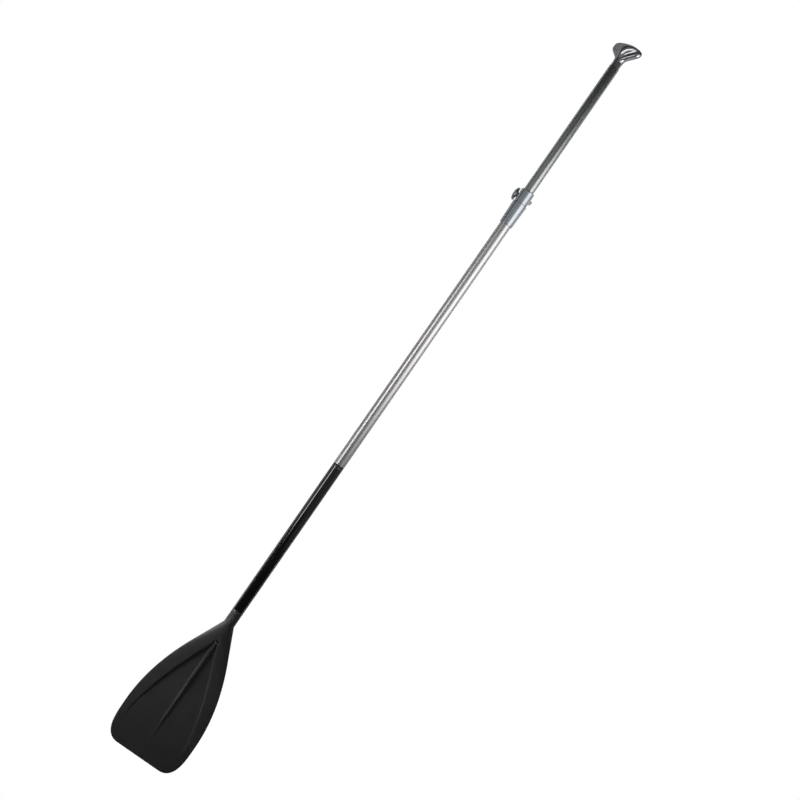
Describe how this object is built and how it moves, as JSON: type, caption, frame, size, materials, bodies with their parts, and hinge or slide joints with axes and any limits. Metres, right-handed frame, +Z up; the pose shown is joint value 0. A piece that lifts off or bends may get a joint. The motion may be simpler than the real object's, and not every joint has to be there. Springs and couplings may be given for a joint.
{
  "type": "stand-up paddle",
  "caption": "Adjustable paddle with a flat leaf-hollowed blade, tubular shaft in sections, clamp collar with a knob, and a palm grip across the top.",
  "frame": {"origin": "on the ground, under the middle of the paddle's bounding box", "axes": "+X along the shaft from the blade to the grip, +Y across the blade, +Z up from the ground, out of the blade's hollowed face"},
  "size_m": [2.1119, 0.208, 0.0822],
  "materials": {
    "blade_plastic": "satin moulded, fine texture",
    "black_tube": "black anodised, semi-gloss",
    "foam": "closed-cell foam",
    "ferrule_plastic": "moulded, semi-gloss",
    "seal_rubber": "matt",
    "steel": "zinc plated",
    "silver_tube": "clear anodised, satin, drawn",
    "collar_plastic": "glossy moulded",
    "rivet_metal": "plain",
    "knob_plastic": "glossy moulded",
    "bush_plastic": "natural nylon",
    "grey_tube": "grey anodised, satin",
    "grip_plastic": "glossy moulded"
  },
  "bodies": {
    "shaft": {"blade": "blade_plastic", "lower_tube": "black_tube", "lower_foam_plug": "foam", "joint_ferrule": "ferrule_plastic", "joint_seal": "seal_rubber", "button_spring": "steel", "mid_tube": "silver_tube", "clamp_collar": "collar_plastic", "clamp_nut": "steel"},
    "button": {"snap_button": "steel"},
    "washer": {"clamp_washer": "steel"},
    "knob": {"clamp_bolt": "steel", "clamp_knob": "knob_plastic"},
    "glide": {"glide_bush": "bush_plastic"},
    "upper": {"upper_tube": "grey_tube", "upper_foam_plug": "foam", "palm_grip": "grip_plastic", "grip_rivet": "rivet_metal"}
  },
  "joints": [
    {"name": "button_press", "type": "slide", "parent": "shaft", "child": "button", "axis": [0, 0, 1], "range_m": [0, 0.0045], "stiffness_N_per_m": 1500, "springref_m": -0.002, "deforming": ["button_spring"]},
    {"name": "knob_travel", "type": "slide", "parent": "shaft", "child": "washer", "axis": [0, 1, 0], "range_m": [0, 0.003]},
    {"name": "knob_turn", "type": "hinge", "parent": "washer", "child": "knob", "pos_m": [0.607, 0, 0.02302], "axis": [0, 1, 0], "range_deg": [0, 1080]},
    {"name": "length_slide", "type": "slide", "parent": "shaft", "child": "glide", "axis": [1, 0, 0], "range_m": [-0.34, 0.05]},
    {"name": "grip_turn", "type": "hinge", "parent": "glide", "child": "upper", "pos_m": [0.425, 0, 0.04402], "axis": [1, 0, 0], "continuous": true}
  ],
  "couplings": [
    {"joint": "knob_turn", "follows": "knob_travel", "rad_per_m": 6283.2}
  ]
}
